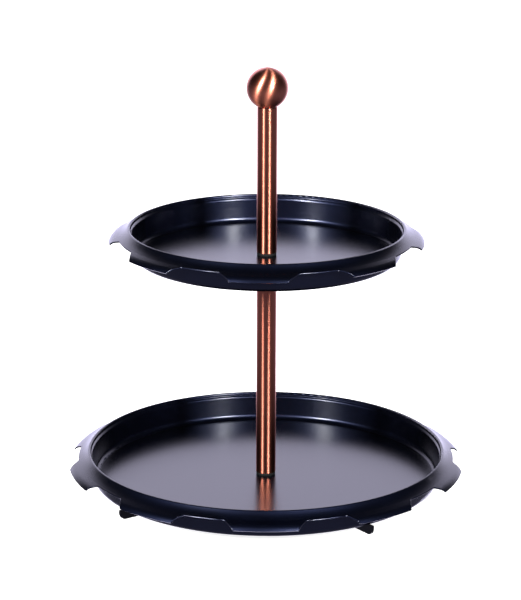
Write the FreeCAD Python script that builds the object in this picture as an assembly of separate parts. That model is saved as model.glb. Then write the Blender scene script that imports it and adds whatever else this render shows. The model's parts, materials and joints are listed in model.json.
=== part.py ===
import FreeCAD, Part
import math
import os

from FreeCAD import Vector

# Tiered cake stand: two pressed trays with notched skirts, clamped on a stem
# that screws together in sections and ends in a ball, standing on a cross base.
# Millimetres. +Z is up. The origin is on the resting plane, on the stem's axis.
# The front is -Y, and every turn about the stem is measured from the front,
# positive towards +X.

# ---- overall sizes ----
base_height = 8.0           # resting plane to the lower tray's underside
tray_spacing = 186.0        # lower floor to upper floor
upper_stem_length = 118.2   # tube between the upper tray and the ball
ball_radius = 16.5

# ---- trays ----
sheet = 1.2                 # thickness of the pressed sheet
tray_depth = 22.6           # floor to the crest of the rim
floor_bend = 4.0            # bend radii are those of the sheet's upper face
wall_slope = 86.0           # degrees from the floor
shoulder_bend = 2.0         # rounded shoulder at the head of the wall
ledge_slope = 45.0
ledge_length = 1.0
step_bend = 0.6             # corner between the ledge and the riser
riser_slope = 82.0
riser_length = 1.3
crest_hollow = 0.1          # bend radius of the sheet's lower face at the crest
crest_fall = 50.0           # slope of the skirt just outside the crest
skirt_sweep = 18.0          # hollow bend of the skirt
skirt_slope = 23.0          # slope of the skirt's straight part
lip_bend = 9.0              # outward bulge of the skirt near its edge
lip_slope = 60.0            # slope at the skirt's edge
notch_corner = 4.0          # rounding at the head of a notch
tab_corner = 1.6            # rounding at the foot of a tab, seen from above
notch_head = 8.7            # crest to the head of a notch, seen from above
cut_rounding = 0.35         # rounding of both edges of the sheet where it is cut
cut_flat = 0.5              # least flat left between those two roundings

lower_crest_radius = 144.2
lower_rim_radius = 160.6
lower_tab_count = 10
lower_tab_turn = 0.0        # turn of the first tab
lower_tab_width = 50.2      # across the foot of a tab
lower_notch_width = 33.5    # across the head of a notch

upper_crest_radius = 110.3
upper_rim_radius = 126.0
upper_tab_count = 8
upper_tab_turn = -2.8
upper_tab_width = 44.2
upper_notch_width = 32.2

# ---- stem ----
tube_radius = 8.0
tube_wall = 1.0
tube_edge = 0.4             # rounding at both ends of a tube
insert_length = 12.0        # threaded plug in each end of a tube
insert_lead = 0.5           # chamfer at the mouth of a threaded bore
gasket = 2.1                # thickness of the washers under and over a tray
gasket_setback = 0.3        # a tube's outside to the edge of those washers
finial_gasket = 0.6
finial_gasket_setback = 0.6

# ---- screws ----
thread_radius = 3.0
thread_gap = 0.05           # between a threaded rod and its bore
hole_gap = 0.3              # between a threaded rod and a hole in a tray or the hub
washer_gap = 0.2            # between the screw and its washers
stud_lead = 0.6             # chamfer at the ends of a threaded rod
tray_stud_below = 9.0       # held in the lower stem
tray_stud_above = 8.0       # engaged in the upper stem
finial_stud_below = 8.0     # engaged in the upper stem
finial_stud_above = 9.4     # held in the ball
stud_socket_flat = 3.0      # across the flats of the hexagon socket
stud_socket_depth = 3.0

base_screw_length = 14.0
screw_head_radius = 5.25
screw_head_height = 3.3
screw_crown = 2.2           # rounding at the head's edge
screw_socket_flat = 4.0
screw_socket_depth = 2.0

washer_radius = 6.0
washer = 1.2                # thickness of the flat washer
spring_washer_radius = 5.6
spring_washer = 1.4         # thickness of the spring washer
spring_washer_slit = 0.8
spring_washer_slant = 20.0  # lean of the slit, degrees

# ---- ball ----
ball_wall = 1.2
ball_insert_radius = 5.0
ball_insert_length = 11.0
ball_insert_flange_radius = 6.5
ball_insert_flange = 1.0

# ---- cross base ----
hub_radius = 29.0
hub_plate = 1.5
arm_count = 4
arm_turn = 36.0             # turn of the first arm
arm_thickness = 2.0
arm_inner = 14.0            # stem axis to an arm's inner end
arm_setback = 1.8           # crest radius of the lower tray to an arm's outer end
arm_corner = 5.5            # rounding at an arm's outer lower corner

# ---- bends, fits and holes that follow ----
crest_bend = sheet + crest_hollow
stud_hole_radius = thread_radius + hole_gap
hub_hole_radius = thread_radius + hole_gap
washer_hole_radius = thread_radius + washer_gap
gasket_radius = tube_radius - gasket_setback
finial_gasket_radius = tube_radius - finial_gasket_setback
ball_seat_radius = tube_radius  # flat on the underside of the ball

# ---- heights that follow ----
lower_floor = base_height + sheet
upper_floor = lower_floor + tray_spacing
upper_under = upper_floor - sheet
lower_tube_foot = lower_floor + gasket
lower_tube_head = upper_under - gasket
upper_tube_foot = upper_floor + gasket
upper_tube_head = upper_tube_foot + upper_stem_length
ball_seat = upper_tube_head + finial_gasket
ball_centre = ball_seat + math.sqrt(ball_radius ** 2 - ball_seat_radius ** 2)

tube_bore = tube_radius - tube_wall
bore_radius = thread_radius + thread_gap
hub_under = base_height - hub_plate
washer_under = hub_under - washer
screw_seat = washer_under - spring_washer


def spin(edges):
    """Turn a closed outline in the XZ plane once round the Z axis."""
    wire = Part.Wire(Part.__sortEdges__(edges))
    solid = Part.Face(wire).revolve(Vector(0, 0, 0), Vector(0, 0, 1), 360)
    return solid


def outline(points):
    """Straight edges through (radius, height) points, closed."""
    corners = [Vector(r, 0, z) for r, z in points]
    edges = []
    for a, b in zip(corners, corners[1:] + corners[:1]):
        edges.append(Part.LineSegment(a, b).toShape())
    return edges


def ring(inner, outer, low, high):
    """Plain ring about the stem's axis."""
    return spin(outline([(inner, low), (outer, low), (outer, high), (inner, high)]))


def turned(shape, turn):
    """The shape turned about the stem, from the front towards +X."""
    copy = shape.copy()
    copy.rotate(Vector(0, 0, 0), Vector(0, 0, 1), turn)
    return copy


def front_point(radius, turn, z):
    """Point at a radius from the axis, at a turn measured from the front."""
    angle = math.radians(turn)
    return Vector(radius * math.sin(angle), -radius * math.cos(angle), z)


def step_along(place, slope, move):
    """Follow one straight run or one bend of a sheet's upper face.

    A run is (length,); a bend is (radius, turn), where a positive turn
    steepens the path. Returns the new place, the new slope and, for a bend,
    its centre.
    """
    r, z = place
    lean = math.radians(slope)
    if len(move) == 1:
        length = move[0]
        return (r + length * math.cos(lean), z + length * math.sin(lean)), slope, None
    radius, turn = move
    side = 1.0 if turn > 0 else -1.0
    centre = (r - side * radius * math.sin(lean), z + side * radius * math.cos(lean))
    after = math.radians(slope + turn)
    end = (centre[0] + side * radius * math.sin(after),
           centre[1] - side * radius * math.cos(after))
    return end, slope + turn, centre


def reach(slope, moves):
    """How far out and up a series of runs and bends goes."""
    place = (0.0, 0.0)
    for move in moves:
        place, slope, centre = step_along(place, slope, move)
    return place


def bent_sheet(start, slope, moves):
    """Outline of a sheet of constant thickness whose upper face follows moves."""
    def below(place, lean):
        lean = math.radians(lean)
        return (place[0] + sheet * math.sin(lean), place[1] - sheet * math.cos(lean))

    def point(place):
        return Vector(place[0], 0, place[1])

    edges = []
    place = start
    edges.append(Part.LineSegment(point(place), point(below(place, slope))).toShape())
    for move in moves:
        after, slope_after, centre = step_along(place, slope, move)
        for offset in (False, True):
            a = below(place, slope) if offset else place
            b = below(after, slope_after) if offset else after
            if centre is None:
                edges.append(Part.LineSegment(point(a), point(b)).toShape())
                continue
            radius = math.hypot(a[0] - centre[0], a[1] - centre[1])
            side = 1.0 if move[1] > 0 else -1.0
            middle = math.radians(slope + move[1] / 2)
            c = (centre[0] + side * radius * math.sin(middle),
                 centre[1] - side * radius * math.cos(middle))
            edges.append(Part.Arc(point(a), point(c), point(b)).toShape())
        place, slope = after, slope_after
    edges.append(Part.LineSegment(point(place), point(below(place, slope))).toShape())
    return edges


def tab_prism(rim, head, count, first, tab_width, notch_width, low, high):
    """Upright prism whose plan is the tray's outline with its tabs."""
    height = high - low
    half_pitch = 180.0 / count
    tip_half = math.degrees(math.asin(tab_width / 2 / rim))
    root_half = half_pitch - math.degrees(math.asin(notch_width / 2 / head))
    prism = Part.makeCylinder(head, height, Vector(0, 0, low))
    limit = Part.makeCylinder(rim, height, Vector(0, 0, low))
    for i in range(count):
        turn = first + 360.0 * i / count
        sides = []
        for hand in (-1, 1):
            root = front_point(head, turn + hand * root_half, low)
            tip = front_point(rim, turn + hand * tip_half, low)
            along = (tip - root).normalize()
            sides.append((root - along * notch_corner, tip + along * notch_corner))
        corners = [sides[0][0], sides[0][1], sides[1][1], sides[1][0], sides[0][0]]
        tab = Part.Face(Part.makePolygon(corners)).extrude(Vector(0, 0, height))
        prism = prism.fuse(tab.common(limit))
    prism = prism.removeSplitter()
    for radius, rounding in ((head, notch_corner), (rim, tab_corner)):
        chosen = []
        for edge in prism.Edges:
            a, b = edge.Vertexes[0].Point, edge.Vertexes[-1].Point
            upright = math.hypot(a.x - b.x, a.y - b.y) < 1e-6 and abs(a.z - b.z) > 1
            if upright and abs(math.hypot(a.x, a.y) - radius) < 0.01:
                chosen.append(edge)
        if len(chosen) != 2 * count:
            raise ValueError("expected two corners for each tab")
        prism = prism.makeFillet(rounding, chosen)
    return prism


def round_cuts(shape, inner):
    """Round both edges of the sheet along every upright cut beyond a radius."""
    chosen = []
    for face in shape.Faces:
        centre = face.CenterOfMass
        low_u, high_u, low_v, high_v = face.ParameterRange
        middle = (low_v + high_v) / 2
        normals = [face.normalAt(low_u + (high_u - low_u) * share, middle)
                   for share in (0.2, 0.5, 0.8)]
        if math.hypot(centre.x, centre.y) < inner or any(abs(n.z) > 1e-4 for n in normals):
            continue
        for edge in face.Edges:
            a, b = edge.Vertexes[0].Point, edge.Vertexes[-1].Point
            along = math.hypot(a.x - b.x, a.y - b.y) > 1e-4
            if along and not any(edge.isSame(other) for other in chosen):
                chosen.append(edge)
    rounding = min(cut_rounding, (sheet - cut_flat) / 2)
    return shape.makeFillet(rounding, chosen)


def tray(floor, crest, rim, count, first, tab_width, notch_width):
    """Pressed tray: floor, wall, stepped rim and a skirt cut into tabs."""
    rise = [(floor_bend, wall_slope)]
    rim_step = [
        (shoulder_bend, ledge_slope - wall_slope),
        (ledge_length,),
        (step_bend, riser_slope - ledge_slope),
        (riser_length,),
        (crest_bend, -riser_slope),
    ]
    out_a, up_a = reach(0.0, rise)
    out_b, up_b = reach(wall_slope, rim_step)
    wall = (tray_depth - up_a - up_b) / math.sin(math.radians(wall_slope))
    out_wall = wall * math.cos(math.radians(wall_slope))
    flat = crest - out_a - out_wall - out_b - stud_hole_radius
    fall = [
        (crest_bend, -crest_fall),
        (skirt_sweep, crest_fall - skirt_slope),
    ]
    lip = [(lip_bend, skirt_slope - lip_slope)]
    out_c, up_c = reach(0.0, fall)
    out_d, up_d = reach(-skirt_slope, lip)
    straight = (rim - crest - out_c - out_d) / math.cos(math.radians(skirt_slope))
    moves = [(flat,)] + rise + [(wall,)] + rim_step + fall + [(straight,)] + lip
    body = spin(bent_sheet((stud_hole_radius, floor), 0.0, moves))
    keep = tab_prism(rim, crest + notch_head, count, first, tab_width, notch_width,
                     floor - 5 * sheet, floor + tray_depth + 5 * sheet)
    return round_cuts(body.common(keep), crest + notch_head - sheet)


def tube(low, high):
    """Stem tube with rounded outer edges at both ends."""
    edges = []
    edge = tube_edge
    slant = edge * (1 - math.sqrt(0.5))
    inner, outer = tube_bore, tube_radius
    path = [(inner, low), (outer - edge, low), (outer, low + edge),
            (outer, high - edge), (outer - edge, high), (inner, high)]
    corners = [Vector(r, 0, z) for r, z in path]
    middles = {1: Vector(outer - slant, 0, low + slant),
               3: Vector(outer - slant, 0, high - slant)}
    for i in range(len(corners)):
        a, b = corners[i], corners[(i + 1) % len(corners)]
        if i in middles:
            edges.append(Part.Arc(a, middles[i], b).toShape())
        else:
            edges.append(Part.LineSegment(a, b).toShape())
    return spin(edges)


def threaded_plug(low, high, outer):
    """Plug with a bore for the screws and a chamfer at both mouths."""
    lead = insert_lead
    return spin(outline([(bore_radius + lead, low), (outer, low), (outer, high),
                         (bore_radius + lead, high), (bore_radius, high - lead),
                         (bore_radius, low + lead)]))


def hexagon(flat, low, high):
    """Upright hexagonal prism, by its size across the flats."""
    corner = flat / 2 / math.cos(math.radians(30))
    points = [front_point(corner, 60 * i, low) for i in range(7)]
    return Part.Face(Part.makePolygon(points)).extrude(Vector(0, 0, high - low))


def stud(low, high):
    """Threaded rod with chamfered ends and a socket in its upper end."""
    lead = stud_lead
    rod = spin(outline([(0, low), (thread_radius - lead, low), (thread_radius, low + lead),
                        (thread_radius, high - lead), (thread_radius - lead, high), (0, high)]))
    return rod.cut(hexagon(stud_socket_flat, high - stud_socket_depth, high + 1))


def base_screw():
    """Domed-head screw pointing up, with a hexagon socket in its head."""
    seat, top = screw_seat, screw_seat + base_screw_length
    bottom = seat - screw_head_height
    r, lead = screw_head_radius, stud_lead
    shank = spin(outline([(0, seat - 1), (thread_radius, seat - 1), (thread_radius, top - lead),
                          (thread_radius - lead, top), (0, top)]))
    slant = screw_crown * (1 - math.sqrt(0.5))
    head = [
        Part.LineSegment(Vector(0, 0, seat), Vector(r, 0, seat)).toShape(),
        Part.LineSegment(Vector(r, 0, seat), Vector(r, 0, bottom + screw_crown)).toShape(),
        Part.Arc(Vector(r, 0, bottom + screw_crown),
                 Vector(r - slant, 0, bottom + slant),
                 Vector(r - screw_crown, 0, bottom)).toShape(),
        Part.LineSegment(Vector(r - screw_crown, 0, bottom), Vector(0, 0, bottom)).toShape(),
        Part.LineSegment(Vector(0, 0, bottom), Vector(0, 0, seat)).toShape(),
    ]
    whole = shank.fuse(spin(head)).removeSplitter()
    return whole.cut(hexagon(screw_socket_flat, bottom - 1, bottom + screw_socket_depth))


def split_washer():
    """Spring washer: a ring with one slanting slit."""
    low, high = washer_under - spring_washer, washer_under
    whole = ring(washer_hole_radius, spring_washer_radius, low, high)
    slit = Part.makeBox(spring_washer_slit, spring_washer_radius + 1, 4 * spring_washer,
                        Vector(-spring_washer_slit / 2, -spring_washer_radius - 1,
                               (low + high) / 2 - 2 * spring_washer))
    slit.rotate(Vector(0, 0, (low + high) / 2), Vector(0, 1, 0), spring_washer_slant)
    return whole.cut(slit)


def base_arm(turn):
    """Flat bar on edge, stepped down under the hub, with one round corner."""
    outer = lower_crest_radius - arm_setback
    half = arm_thickness / 2
    c = arm_corner
    slant = c * (1 - math.sqrt(0.5))

    def at(radius, z):
        return Vector(-half, -radius, z)

    corners = [at(arm_inner, 0), at(outer - c, 0), at(outer, c), at(outer, base_height),
               at(hub_radius, base_height), at(hub_radius, hub_under), at(arm_inner, hub_under)]
    edges = []
    for i, a in enumerate(corners):
        b = corners[(i + 1) % len(corners)]
        if i == 1:
            edges.append(Part.Arc(a, at(outer - slant, slant), b).toShape())
        else:
            edges.append(Part.LineSegment(a, b).toShape())
    bar = Part.Face(Part.Wire(edges)).extrude(Vector(arm_thickness, 0, 0))
    return turned(bar, turn)


def ball_shell():
    """Hollow ball with a flat, pierced seat."""
    top = Vector(0, 0, ball_centre + ball_radius)
    seat_edge = Vector(ball_seat_radius, 0, ball_seat)
    inside = ball_radius - ball_wall
    inner_floor = ball_seat + ball_wall
    inner_edge = math.sqrt(inside ** 2 - (ball_centre - inner_floor) ** 2)
    edges = [
        Part.Arc(top, Vector(ball_radius, 0, ball_centre), seat_edge).toShape(),
        Part.LineSegment(seat_edge, Vector(ball_insert_radius, 0, ball_seat)).toShape(),
        Part.LineSegment(Vector(ball_insert_radius, 0, ball_seat),
                         Vector(ball_insert_radius, 0, inner_floor)).toShape(),
        Part.LineSegment(Vector(ball_insert_radius, 0, inner_floor),
                         Vector(inner_edge, 0, inner_floor)).toShape(),
        Part.Arc(Vector(inner_edge, 0, inner_floor), Vector(inside, 0, ball_centre),
                 Vector(0, 0, ball_centre + inside)).toShape(),
        Part.LineSegment(Vector(0, 0, ball_centre + inside), top).toShape(),
    ]
    return spin(edges)


def ball_insert():
    """Threaded bush of the ball, with a flange on the inside of its seat."""
    low = ball_seat
    flange_low = ball_seat + ball_wall
    flange_high = flange_low + ball_insert_flange
    high = ball_seat + ball_insert_length
    lead = insert_lead
    return spin(outline([(bore_radius + lead, low), (ball_insert_radius, low),
                         (ball_insert_radius, flange_low),
                         (ball_insert_flange_radius, flange_low),
                         (ball_insert_flange_radius, flange_high),
                         (ball_insert_radius, flange_high), (ball_insert_radius, high),
                         (bore_radius, high), (bore_radius, low + lead)]))


parts = {}

parts["lower_tray"] = tray(lower_floor, lower_crest_radius, lower_rim_radius,
                           lower_tab_count, lower_tab_turn,
                           lower_tab_width, lower_notch_width)
parts["upper_tray"] = tray(upper_floor, upper_crest_radius, upper_rim_radius,
                           upper_tab_count, upper_tab_turn,
                           upper_tab_width, upper_notch_width)

parts["base_hub"] = ring(hub_hole_radius, hub_radius, hub_under, base_height)
for i in range(arm_count):
    parts["base_arm_%d" % (i + 1)] = base_arm(arm_turn + 360.0 * i / arm_count)
parts["base_washer"] = ring(washer_hole_radius, washer_radius, washer_under, hub_under)
parts["base_spring_washer"] = split_washer()
parts["base_screw"] = base_screw()

parts["lower_stem_gasket"] = ring(stud_hole_radius, gasket_radius,
                                  lower_floor, lower_tube_foot)
parts["lower_stem_tube"] = tube(lower_tube_foot, lower_tube_head)
parts["lower_stem_bottom_insert"] = threaded_plug(
    lower_tube_foot, lower_tube_foot + insert_length, tube_bore)
parts["lower_stem_top_insert"] = threaded_plug(
    lower_tube_head - insert_length, lower_tube_head, tube_bore)
parts["tray_stud"] = stud(lower_tube_head - tray_stud_below,
                          upper_tube_foot + tray_stud_above)

parts["upper_tray_gasket"] = ring(stud_hole_radius, gasket_radius,
                                  lower_tube_head, upper_under)
parts["upper_stem_gasket"] = ring(stud_hole_radius, gasket_radius,
                                  upper_floor, upper_tube_foot)
parts["upper_stem_tube"] = tube(upper_tube_foot, upper_tube_head)
parts["upper_stem_bottom_insert"] = threaded_plug(
    upper_tube_foot, upper_tube_foot + insert_length, tube_bore)
parts["upper_stem_top_insert"] = threaded_plug(
    upper_tube_head - insert_length, upper_tube_head, tube_bore)

parts["finial_gasket"] = ring(stud_hole_radius, finial_gasket_radius,
                              upper_tube_head, ball_seat)
parts["finial_ball"] = ball_shell()
parts["finial_insert"] = ball_insert()
parts["finial_stud"] = stud(upper_tube_head - finial_stud_below,
                            ball_seat + finial_stud_above)

os.makedirs("parts", exist_ok=True)
for name, shape in parts.items():
    if len(shape.Solids) != 1 or not shape.isValid():
        raise ValueError(name + " is not one valid solid")
    shape.Solids[0].exportStep("parts/" + name + ".step")
    print("%-26s %12.1f mm3" % (name, shape.Volume))
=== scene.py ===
import bmesh
import bpy
import json
import math
from mathutils import Matrix, Vector


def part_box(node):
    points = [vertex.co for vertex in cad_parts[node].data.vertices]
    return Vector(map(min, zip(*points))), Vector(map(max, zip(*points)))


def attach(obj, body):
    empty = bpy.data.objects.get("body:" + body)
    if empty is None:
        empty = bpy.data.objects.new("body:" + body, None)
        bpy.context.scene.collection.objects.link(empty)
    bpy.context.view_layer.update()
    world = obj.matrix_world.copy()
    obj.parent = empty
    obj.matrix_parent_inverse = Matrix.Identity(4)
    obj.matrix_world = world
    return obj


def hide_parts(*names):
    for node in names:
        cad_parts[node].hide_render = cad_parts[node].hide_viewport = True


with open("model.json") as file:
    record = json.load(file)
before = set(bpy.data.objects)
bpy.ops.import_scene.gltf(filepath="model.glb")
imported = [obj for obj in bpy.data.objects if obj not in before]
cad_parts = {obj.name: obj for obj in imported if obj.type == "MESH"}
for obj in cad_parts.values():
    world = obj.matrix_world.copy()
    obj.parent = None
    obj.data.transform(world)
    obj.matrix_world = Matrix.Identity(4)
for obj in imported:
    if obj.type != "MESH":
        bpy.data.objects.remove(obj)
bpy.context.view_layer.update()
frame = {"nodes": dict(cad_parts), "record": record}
nodes = frame["nodes"]


# ---- shader maths ----

class Amount:
    """A value on a node's socket. Sums, differences, products and powers add Math nodes."""

    def __init__(self, tree, socket):
        self.tree = tree
        self.socket = socket

    def maths(self, operation, *values):
        node = self.tree.nodes.new("ShaderNodeMath")
        node.operation = operation
        for place, value in enumerate(values):
            if isinstance(value, Amount):
                self.tree.links.new(value.socket, node.inputs[place])
            else:
                node.inputs[place].default_value = value
        return Amount(self.tree, node.outputs[0])

    def __add__(self, other):
        return self.maths("ADD", self, other)

    def __rsub__(self, other):
        return self.maths("SUBTRACT", other, self)

    def __mul__(self, other):
        return self.maths("MULTIPLY", self, other)

    def __rmul__(self, other):
        return self.maths("MULTIPLY", other, self)

    def __pow__(self, other):
        return self.maths("POWER", self, other)


class Finish:
    """The node tree of a material or of the studio, and one way to add to it."""

    def __init__(self, owner):
        owner.use_nodes = True
        self.tree = owner.node_tree
        self.tree.nodes.clear()

    def node(self, kind, settings, sockets):
        """Add a node: its settings first, then the values or links of its sockets."""
        made = self.tree.nodes.new(kind)
        for key, value in settings.items():
            if key == "stops":
                ramp = made.color_ramp.elements
                while len(ramp) < len(value):
                    ramp.new(0.5)
                for stop, (place, colour) in zip(ramp, value):
                    stop.position = place
                    stop.color = colour
            else:
                setattr(made, key, value)
        for key, value in sockets.items():
            if isinstance(value, Amount):
                self.tree.links.new(value.socket, made.inputs[key])
            else:
                made.inputs[key].default_value = value
        return made

    def get(self, kind, settings, sockets, output=0):
        """Add a node and take one of its outputs."""
        return Amount(self.tree, self.node(kind, settings, sockets).outputs[output])

    def place(self):
        """Where the surface is, in metres, on the object's own coordinates."""
        return self.get("ShaderNodeTexCoord", {}, {}, "Object")

    def stretched(self, where, scale):
        """The same place with each axis scaled."""
        return self.get("ShaderNodeMapping", {}, {"Vector": where, "Scale": scale})

    def noise(self, where, scale, detail=3.0, roughness=0.5):
        """Cloudy noise from 0 to 1, about a half on average."""
        return self.get("ShaderNodeTexNoise", {"noise_dimensions": "3D"},
                        {"Vector": where, "Scale": scale, "Detail": detail,
                         "Roughness": roughness}, "Fac")

    def between(self, value, low, high, to_low=0.0, to_high=1.0):
        """A value's range stretched to another, held at both ends."""
        return self.get("ShaderNodeMapRange", {"interpolation_type": "SMOOTHSTEP"},
                        {"Value": value, "From Min": low, "From Max": high,
                         "To Min": to_low, "To Max": to_high})

    def blend(self, share, first, second):
        """Two colours mixed."""
        return self.get("ShaderNodeMix", {"data_type": "RGBA"},
                        {0: share, 6: first, 7: second}, 2)

    def bump(self, height, depth):
        """A surface normal from a height, in units of a real depth in metres."""
        return self.get("ShaderNodeBump", {}, {"Height": height, "Distance": depth,
                                               "Strength": 1.0})

    def split(self, vector):
        """The three parts of a vector."""
        parts = self.node("ShaderNodeSeparateXYZ", {}, {"Vector": vector})
        return [Amount(self.tree, output) for output in parts.outputs]

    def surface(self, sockets):
        """The shader itself, joined to the material's output."""
        shader = self.node("ShaderNodeBsdfPrincipled", {}, sockets)
        self.node("ShaderNodeOutputMaterial", {},
                  {"Surface": Amount(self.tree, shader.outputs[0])})


def finish(name):
    """A new material and its node maker."""
    material = bpy.data.materials.new(name)
    return material, Finish(material)


# ---- finishes ----

hub_radius = 0.0290
ring_half = 0.0025          # half the width of the ring over the hub's edge
peel_depth = 0.000010       # waviness of the clear coat
ball_lean = 20.0            # degrees, from upright, of the ball's brushing axis


def tray_paint(name, ring_depth):
    """Blue-black paint with fine metallic flakes under a smooth clear coat.

    The hub's edge shows through the sheet above it as a faint ring, as high as
    ring_depth.
    """
    material, make = finish(name)
    where = make.place()
    across, along = make.split(where)[:2]
    outward = (across * across + along * along) ** 0.5
    ring = (make.between(outward, hub_radius - ring_half, hub_radius)
            * make.between(outward, hub_radius, hub_radius + ring_half, 1.0, 0.0))
    peel = make.noise(where, 420.0, 2.0, 0.45)
    haze = make.noise(where, 14.0, 4.0, 0.6)
    flakes = make.noise(where, 5200.0, 2.0, 0.7)
    tone = make.blend(make.between(flakes, 0.35, 0.65), (0.003, 0.005, 0.020, 1.0),
                      (0.006, 0.010, 0.034, 1.0))
    make.surface({
        "Base Color": tone,
        "Metallic": 1.0,
        "Roughness": make.between(haze, 0.3, 0.7, 0.32, 0.40),
        "Specular Tint": (0.10, 0.10, 0.30, 1.0),
        "Coat Weight": 1.0,
        "Coat Roughness": 0.23,
        "Coat IOR": 1.42,
        "Normal": make.bump(peel * peel_depth + ring * ring_depth, 1.0),
    })
    return material


def base_paint():
    """Black paint of the cross base, slightly grainy."""
    material, make = finish("black_paint")
    where = make.place()
    grain = make.noise(where, 900.0, 3.0, 0.6)
    patch = make.noise(where, 60.0, 3.0, 0.5)
    make.surface({
        "Base Color": make.blend(patch, (0.0012, 0.0012, 0.0022, 1.0),
                                 (0.0022, 0.0022, 0.0034, 1.0)),
        "Roughness": make.between(patch, 0.3, 0.7, 0.30, 0.42),
        "Specular IOR Level": 0.2,
        "Normal": make.bump(grain, 0.00003),
    })
    return material


def copper_tone(make, where):
    """Copper plate's colour: reddish, with slightly darker clouds."""
    tarnish = make.noise(where, 26.0, 4.0, 0.6)
    return make.blend(tarnish, (0.50, 0.152, 0.094, 1.0), (0.60, 0.196, 0.126, 1.0))


def stem_copper():
    """Copper plate, brushed in fine lines round the stem's axis."""
    material, make = finish("brushed_copper_stem")
    where = make.place()
    lines = make.noise(make.stretched(where, (28.0, 28.0, 5200.0)), 1.0, 3.0, 0.6)
    bands = make.noise(make.stretched(where, (9.0, 9.0, 420.0)), 1.0, 3.0, 0.5)
    make.surface({
        "Base Color": copper_tone(make, where),
        "Metallic": 1.0,
        "Roughness": make.between(0.6 * bands + 0.4 * lines, 0.3, 0.7, 0.29, 0.33),
        "Anisotropic": 0.95,
        "Anisotropic Rotation": 0.25,
        "Normal": make.bump(lines, 0.000002),
    })
    return material


def ball_copper(middle, lean):
    """Copper plate, brushed in rings about an axis that leans to one side."""
    material, make = finish("brushed_copper_ball")
    where = make.get("ShaderNodeMapping", {"vector_type": "TEXTURE"},
                     {"Vector": make.place(), "Location": middle,
                      "Rotation": (0.0, math.radians(lean), 0.0)})
    lines = make.noise(make.stretched(where, (45.0, 45.0, 5200.0)), 1.0, 3.0, 0.6)
    bands = make.noise(make.stretched(where, (9.0, 9.0, 420.0)), 1.0, 3.0, 0.5)
    make.surface({
        "Base Color": copper_tone(make, where),
        "Metallic": 1.0,
        "Roughness": make.between(0.6 * bands + 0.4 * lines, 0.3, 0.7, 0.33, 0.38),
        "Anisotropic": 0.9,
        "Anisotropic Rotation": 0.25 - lean / 360.0,
        "Normal": make.bump(lines, 0.000002),
    })
    return material


def zinc_steel():
    """Bright zinc plate with faint machining lines."""
    material, make = finish("zinc_plate")
    where = make.place()
    lines = make.noise(make.stretched(where, (60.0, 60.0, 5000.0)), 1.0, 2.0, 0.5)
    bloom = make.noise(where, 300.0, 4.0, 0.65)
    make.surface({
        "Base Color": make.blend(bloom, (0.50, 0.51, 0.52, 1.0), (0.68, 0.68, 0.66, 1.0)),
        "Metallic": 1.0,
        "Roughness": make.between(bloom, 0.3, 0.7, 0.24, 0.38),
        "Normal": make.bump(lines, 0.000004),
    })
    return material


def gasket_rubber():
    """Black rubber, matt and slightly pitted."""
    material, make = finish("black_rubber")
    where = make.place()
    pits = make.noise(where, 2600.0, 3.0, 0.7)
    cloud = make.noise(where, 220.0, 3.0, 0.5)
    make.surface({
        "Base Color": make.blend(cloud, (0.003, 0.003, 0.003, 1.0), (0.006, 0.006, 0.006, 1.0)),
        "Roughness": make.between(cloud, 0.3, 0.7, 0.60, 0.78),
        "Specular IOR Level": 0.2,
        "Normal": make.bump(pits, 0.00003),
    })
    return material


finishes = {
    "tray_paint": tray_paint("blue_black_paint", 0.0),
    "base_paint": base_paint(),
    "copper_plate": stem_copper(),
    "zinc_steel": zinc_steel(),
    "gasket_rubber": gasket_rubber(),
}
for part in frame["record"]["subparts"]:
    mesh = nodes[part["node"]].data
    mesh.materials.clear()
    mesh.materials.append(finishes[part["material_slot"]])

nodes["lower_tray"].data.materials[0] = tray_paint("blue_black_paint_over_hub", 0.00005)

ball_low, ball_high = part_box("finial_ball")
ball_middle = (0.0, 0.0, ball_high[2] - (ball_high[0] - ball_low[0]) / 2)
nodes["finial_ball"].data.materials[0] = ball_copper(ball_middle, ball_lean)


# ---- softened edges of the base and the washers ----

def soften(node, width):
    """Round a plain part's sharp edges by a small width."""
    weld = nodes[node].modifiers.new("weld", "WELD")
    weld.merge_threshold = 0.000001
    edge = nodes[node].modifiers.new("edge", "BEVEL")
    edge.width = width
    edge.segments = 2
    edge.limit_method = "ANGLE"
    edge.angle_limit = math.radians(40.0)


for arm in range(1, 5):
    soften("base_arm_%d" % arm, 0.0003)
soften("base_hub", 0.0002)
for washer in ("lower_stem_gasket", "upper_tray_gasket", "upper_stem_gasket"):
    soften(washer, 0.0003)
soften("finial_gasket", 0.0001)


# ---- threaded rods ----

thread_pitch = 0.001
thread_depth = 0.00061
thread_steps = 64           # facets round one turn
thread_outline = ((0.0, 0.0), (0.14, 0.0), (0.46, 1.0), (0.68, 1.0))  # shares of pitch, depth
thread_shrink = 0.999       # keeps the crest just inside the plain rod
socket_flat = 0.003         # hexagon socket, across the flats
socket_depth = 0.003
screw_shank = 0.003
screw_head_height = 0.0033
screw_crown = 0.0022        # rounding at the head's edge
crown_steps = 8
screw_overlap = 0.0002      # how far the thread starts inside the head
screw_socket_flat = 0.004
screw_socket_depth = 0.002


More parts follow.
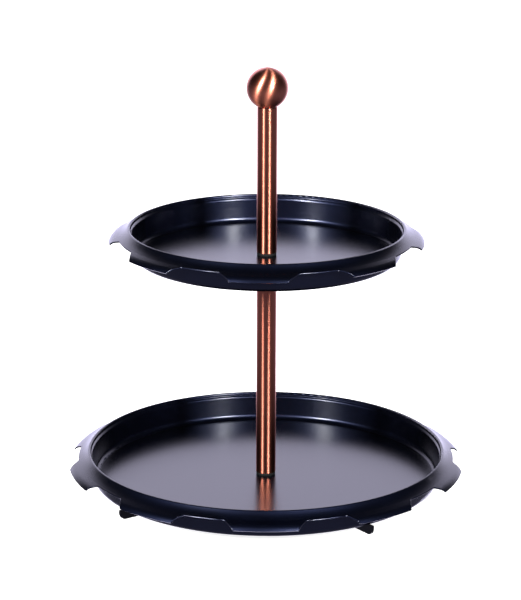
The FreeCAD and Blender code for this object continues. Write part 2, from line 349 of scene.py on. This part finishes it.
def close_with_socket(shape, outline, flat, level, depth):
    """Close a flat end, with a hexagon socket that goes down, or up by a negative depth."""
    rim = bmesh.ops.create_circle(shape, segments=6, cap_ends=False,
                                  radius=flat / 2 / math.cos(math.radians(30)),
                                  matrix=Matrix.Translation((0, 0, level)))
    mouth = [edge for edge in shape.edges
             if all(vertex in rim["verts"] for vertex in edge.verts)]
    bmesh.ops.triangle_fill(shape, use_beauty=True, edges=outline + mouth, normal=(0, 0, 1))
    drop = bmesh.ops.extrude_edge_only(shape, edges=mouth)["geom"]
    foot = [part for part in drop if isinstance(part, bmesh.types.BMVert)]
    bmesh.ops.translate(shape, verts=foot, vec=(0, 0, -depth))
    bmesh.ops.contextual_create(
        shape, geom=[part for part in drop if isinstance(part, bmesh.types.BMEdge)])


def thread(shape, crest, low, high):
    """Helical thread between two levels; gives the edges of its two open ends."""
    line = []
    for turn in range(-2, int((high - low) / thread_pitch) + 2):
        start = low + turn * thread_pitch
        for rise, sink in thread_outline:
            line.append(shape.verts.new((crest - sink * thread_depth, 0.0,
                                         start + rise * thread_pitch)))
    edges = [shape.edges.new(pair) for pair in zip(line, line[1:])]
    bmesh.ops.spin(shape, geom=line + edges, cent=(0, 0, 0), axis=(0, 0, 1),
                   dvec=(0, 0, thread_pitch / thread_steps), angle=math.tau,
                   steps=thread_steps, use_merge=False)
    bmesh.ops.remove_doubles(shape, verts=shape.verts, dist=0.000001)
    ends = []
    for level, way in ((low, -1), (high, 1)):
        cut = bmesh.ops.bisect_plane(shape, geom=shape.verts[:] + shape.edges[:] + shape.faces[:],
                                     plane_co=(0, 0, level), plane_no=(0, 0, way),
                                     clear_outer=True)
        ends.append([part for part in cut["geom_cut"] if isinstance(part, bmesh.types.BMEdge)])
    return ends


def threaded_piece(shape, node, body):
    """Finish a threaded part and let it stand for its plain one."""
    bmesh.ops.recalc_face_normals(shape, faces=shape.faces)
    mesh = bpy.data.meshes.new(node + "_threaded")
    shape.to_mesh(mesh)
    shape.free()
    mesh.materials.append(finishes["zinc_steel"])
    piece = bpy.data.objects.new(node + "_threaded", mesh)
    bpy.context.scene.collection.objects.link(piece)
    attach(piece, body)
    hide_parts(node)


def threaded_rod(node, body):
    """Rod with a helical thread and a hexagon socket in its upper end."""
    low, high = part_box(node)
    shape = bmesh.new()
    foot, head = thread(shape, thread_shrink * (high[0] - low[0]) / 2, low[2], high[2])
    bmesh.ops.contextual_create(shape, geom=foot)
    close_with_socket(shape, head, socket_flat, high[2], socket_depth)
    threaded_piece(shape, node, body)


def threaded_screw(node, body):
    """Screw pointing up, with a domed head and a hexagon socket in the head."""
    low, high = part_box(node)
    bottom = low[2]
    seat = bottom + screw_head_height
    head_radius = thread_shrink * (high[0] - low[0]) / 2
    dome = bmesh.new()
    path = [(screw_shank, seat), (head_radius, seat)]
    for step in range(crown_steps + 1):
        turn = math.radians(90.0 * step / crown_steps)
        path.append((head_radius - screw_crown * (1 - math.cos(turn)),
                     bottom + screw_crown * (1 - math.sin(turn))))
    line = [dome.verts.new((radius, 0.0, level)) for radius, level in path]
    edges = [dome.edges.new(pair) for pair in zip(line, line[1:])]
    bmesh.ops.spin(dome, geom=line + edges, cent=(0, 0, 0), axis=(0, 0, 1), angle=math.tau,
                   steps=thread_steps, use_merge=True)
    rims = [edge for edge in dome.edges if edge.is_boundary]
    upper = [edge for edge in rims if edge.verts[0].co.z > (bottom + seat) / 2]
    lower = [edge for edge in rims if edge not in upper]
    bmesh.ops.contextual_create(dome, geom=upper)
    close_with_socket(dome, lower, screw_socket_flat, bottom, -screw_socket_depth)
    head = bpy.data.meshes.new("screw_head")
    dome.to_mesh(head)
    dome.free()
    shape = bmesh.new()
    foot, tip = thread(shape, thread_shrink * screw_shank, seat - screw_overlap, high[2])
    bmesh.ops.contextual_create(shape, geom=foot)
    bmesh.ops.contextual_create(shape, geom=tip)
    shape.from_mesh(head)
    bpy.data.meshes.remove(head)
    threaded_piece(shape, node, body)


threaded_rod("tray_stud", "lower_stem")
threaded_rod("finial_stud", "finial")
threaded_screw("base_screw", "base")


# ---- floor ----

floor_size = 24.0
floor_mesh = bpy.data.meshes.new("studio_floor")
shape = bmesh.new()
bmesh.ops.create_grid(shape, x_segments=1, y_segments=1, size=floor_size / 2)
shape.to_mesh(floor_mesh)
shape.free()
floor = bpy.data.objects.new("studio_floor", floor_mesh)
bpy.context.scene.collection.objects.link(floor)
floor.visible_glossy = False
floor_material, make = finish("pale_floor")
make.surface({"Base Color": (0.88, 0.88, 0.86, 1.0), "Roughness": 0.85,
              "Emission Color": (1.0, 1.0, 1.0, 1.0), "Emission Strength": 0.85})
floor_mesh.materials.append(floor_material)


# ---- light ----

lamp_distance = 2.2
lamp_height = 1.48
lamp_width = 0.26
lamp_tall = 1.3
lamp_power = 135.0          # watts
lamp_aim = Vector((0.0, 0.0, 0.18))


def lamp(name, azimuth):
    """Soft upright strip light aimed at the stand; azimuth 0 is the front, 90 the right."""
    light = bpy.data.lights.new(name, "AREA")
    light.shape = "RECTANGLE"
    light.size = lamp_width
    light.size_y = lamp_tall
    light.energy = lamp_power
    lit = bpy.data.objects.new(name, light)
    turn = math.radians(azimuth)
    spot = Vector((lamp_distance * math.sin(turn), -lamp_distance * math.cos(turn), lamp_height))
    lit.rotation_mode = "QUATERNION"
    lit.rotation_quaternion = (lamp_aim - spot).to_track_quat("-Z", "Y")
    lit.location = spot
    lit.visible_camera = False
    bpy.context.scene.collection.objects.link(lit)


lamp("left_softbox", -43.0)
lamp("right_softbox", 31.0)

world = bpy.data.worlds.new("studio")
bpy.context.scene.world = world
make = Finish(world)
towards_back, upwards = make.split(make.get("ShaderNodeTexCoord", {}, {}, "Generated"))[1:]
backdrop = (make.between(towards_back, 0.62, 0.88)
            * make.between(upwards, 0.45, 0.85, 1.0, 0.0))
tabletop = make.between(upwards, -0.06, -0.02, 1.0, 0.0) * (1.0 - backdrop)
room = make.blend(tabletop, (0.022, 0.023, 0.028, 1.0), (0.24, 0.24, 0.35, 1.0))
around = make.blend(backdrop, room, (1.95, 1.88, 2.48, 1.0))
seen = make.get("ShaderNodeLightPath", {}, {}, "Is Camera Ray")
make.node("ShaderNodeOutputWorld", {}, {
    "Surface": make.get("ShaderNodeBackground", {}, {
        "Color": make.blend(seen, around, (1.0, 1.0, 1.0, 1.0)), "Strength": 1.0})})


# ---- camera ----

camera = bpy.data.cameras.new("camera")
camera.lens = 154.31
camera.sensor_width = 36.0
camera.shift_x = -0.0100
camera.clip_start = 0.05
camera.clip_end = 60.0
viewer = bpy.data.objects.new("camera", camera)
bpy.context.scene.collection.objects.link(viewer)
viewer.matrix_world = (Matrix.Translation((0.0, -1.98509, 0.73763))
                       @ Matrix.Rotation(math.radians(73.7006), 4, "X")
                       @ Matrix.Rotation(math.radians(0.2548), 4, "Z"))
bpy.context.scene.camera = viewer
bpy.context.scene.view_settings.view_transform = "Standard"
